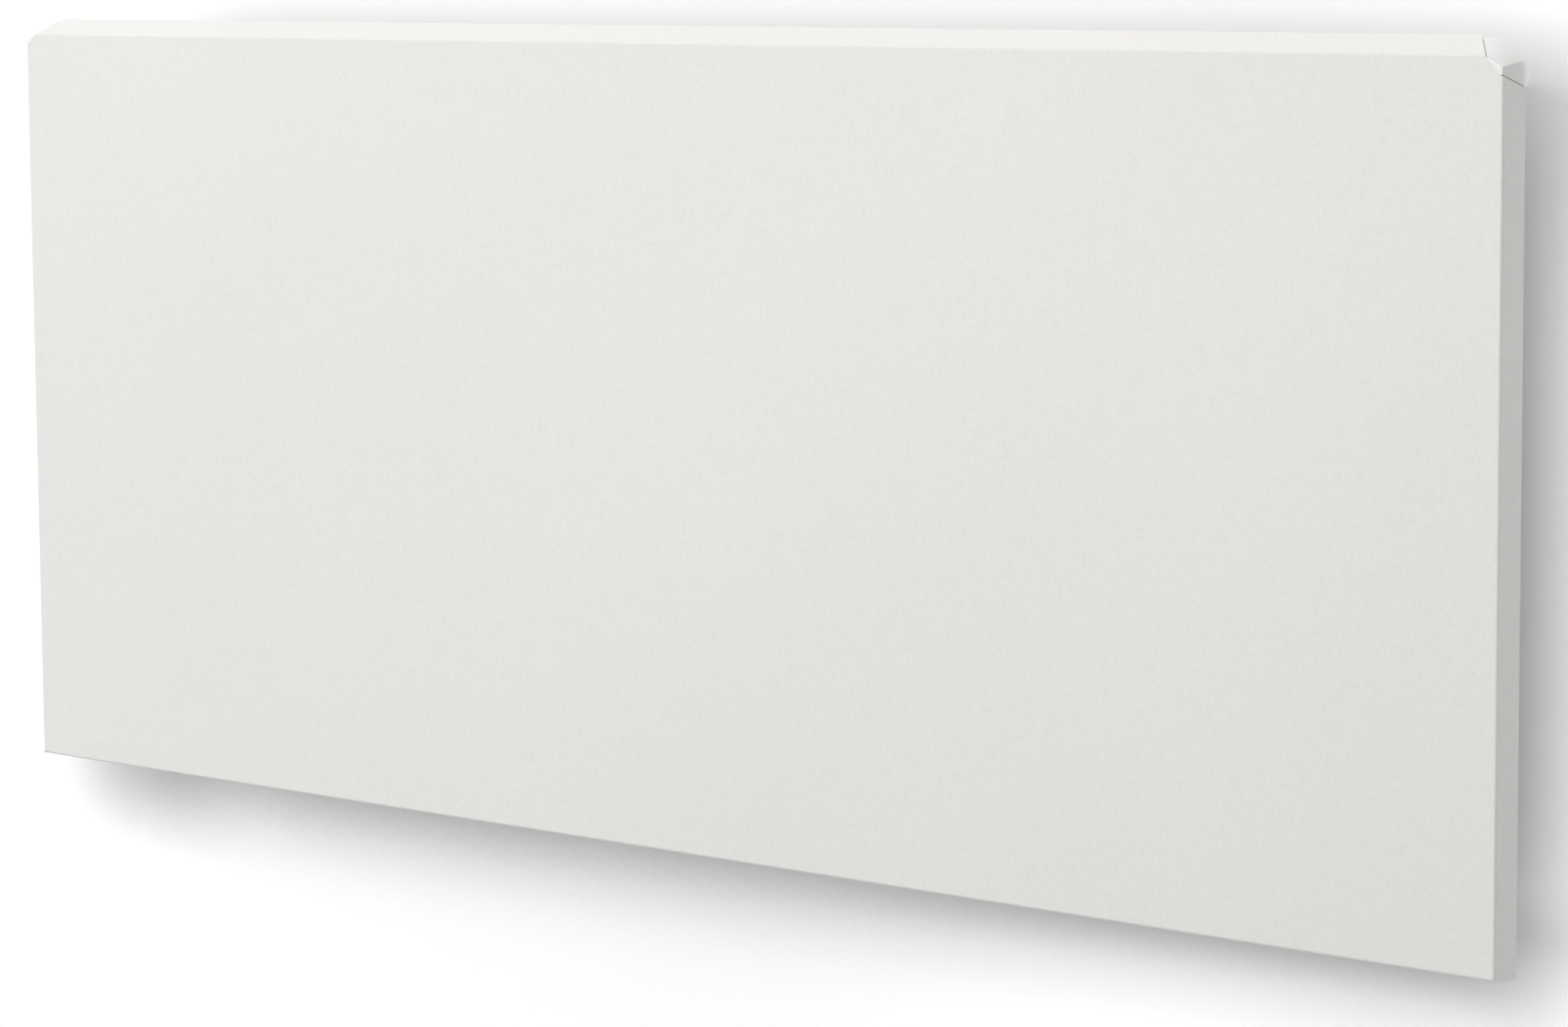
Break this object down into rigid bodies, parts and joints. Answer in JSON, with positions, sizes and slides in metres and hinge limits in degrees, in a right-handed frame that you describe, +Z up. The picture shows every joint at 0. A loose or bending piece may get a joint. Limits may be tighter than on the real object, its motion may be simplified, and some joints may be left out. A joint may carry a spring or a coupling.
{
  "type": "wall-hung electric panel heater",
  "caption": "Wall-hung electric panel heater with a plain folded steel front, moulded corner caps and a convector casing that tilts on its wall bracket.",
  "frame": {"origin": "centre of the four wall-screw holes, on the wall plane", "axes": "+X to the right of a person facing the heater, +Y into the wall, +Z up; the front faces -Y"},
  "size_m": [0.877, 0.084, 0.371],
  "materials": {
    "front_paint": "fine-textured satin powder coat",
    "cap_plastic": "gloss moulding",
    "casing_paint": "satin powder coat",
    "galvanised": "zinc plated",
    "bright_steel": "bright zinc",
    "fin_aluminium": "as extruded",
    "bush_ceramic": "unglazed",
    "black_plastic": "matt",
    "rocker_plastic": "gloss",
    "housing_plastic": "fine-grained",
    "button_plastic": "satin",
    "board": "solder resist",
    "lens": "smoked gloss",
    "terminal_plastic": "matt",
    "brass": "plain",
    "wire_brown": "sleeved",
    "wire_black": "sleeved",
    "wire_blue": "sleeved",
    "wire_green": "green and yellow",
    "wire_white": "braided glass sleeve"
  },
  "bodies": {
    "wall_bracket": {"bracket_upright_left": "galvanised", "bracket_upright_right": "galvanised", "bracket_rail_upper": "galvanised", "bracket_rail_lower": "galvanised", "bracket_rivets": "bright_steel", "catch_sockets": "housing_plastic"},
    "heater": {"front_panel": "front_paint", "panel_nuts": "bright_steel", "corner_cap_left": "cap_plastic", "corner_cap_right": "cap_plastic", "back_plate": "casing_paint", "end_cheek_left": "casing_paint", "end_cheek_right": "casing_paint", "heat_shield": "bright_steel", "outlet_grille": "casing_paint", "inlet_guard": "casing_paint", "heating_element": "fin_aluminium", "element_rod": "bright_steel", "element_bracket_left": "galvanised", "element_bracket_right": "galvanised", "element_bushes": "bush_ceramic", "thermal_cutout": "black_plastic", "cutout_bracket": "galvanised", "control_housing": "housing_plastic", "control_board": "board", "board_screws": "bright_steel", "display_module": "black_plastic", "display_lens": "lens", "switch_body": "black_plastic", "terminal_box": "housing_plastic", "terminal_lid": "housing_plastic", "terminal_block": "terminal_plastic", "terminal_clamps": "brass", "cable_gland": "black_plastic", "gland_nut": "black_plastic", "earth_stud": "brass", "wire_live": "wire_brown", "wire_switched": "wire_black", "wire_neutral": "wire_blue", "wire_earth": "wire_green", "element_leads": "wire_white", "casing_screws": "bright_steel", "hinge_lug_left": "galvanised", "hinge_lug_right": "galvanised", "pivot_pins": "bright_steel", "lug_rivets": "bright_steel", "catch_studs": "bright_steel"},
    "button_minus": {"button_minus": "button_plastic"},
    "button_plus": {"button_plus": "button_plastic"},
    "button_mode": {"button_mode": "button_plastic"},
    "rocker": {"switch_rocker": "rocker_plastic"}
  },
  "joints": [
    {"name": "tilt", "type": "hinge", "parent": "wall_bracket", "child": "heater", "pos_m": [0, -0.012, -0.145], "axis": [1, 0, 0], "range_deg": [0, 25]},
    {"name": "button_minus_press", "type": "slide", "parent": "heater", "child": "button_minus", "axis": [0, 0, -1], "range_m": [0, 0.001], "stiffness_N_per_m": 400, "springref_m": -0.001},
    {"name": "button_plus_press", "type": "slide", "parent": "heater", "child": "button_plus", "axis": [0, 0, -1], "range_m": [0, 0.001], "stiffness_N_per_m": 400, "springref_m": -0.001},
    {"name": "button_mode_press", "type": "slide", "parent": "heater", "child": "button_mode", "axis": [0, 0, -1], "range_m": [0, 0.001], "stiffness_N_per_m": 400, "springref_m": -0.001},
    {"name": "rocker_turn", "type": "hinge", "parent": "heater", "child": "rocker", "pos_m": [0.3895, -0.048, 0.061], "axis": [0, 1, 0], "range_deg": [0, 16]}
  ]
}
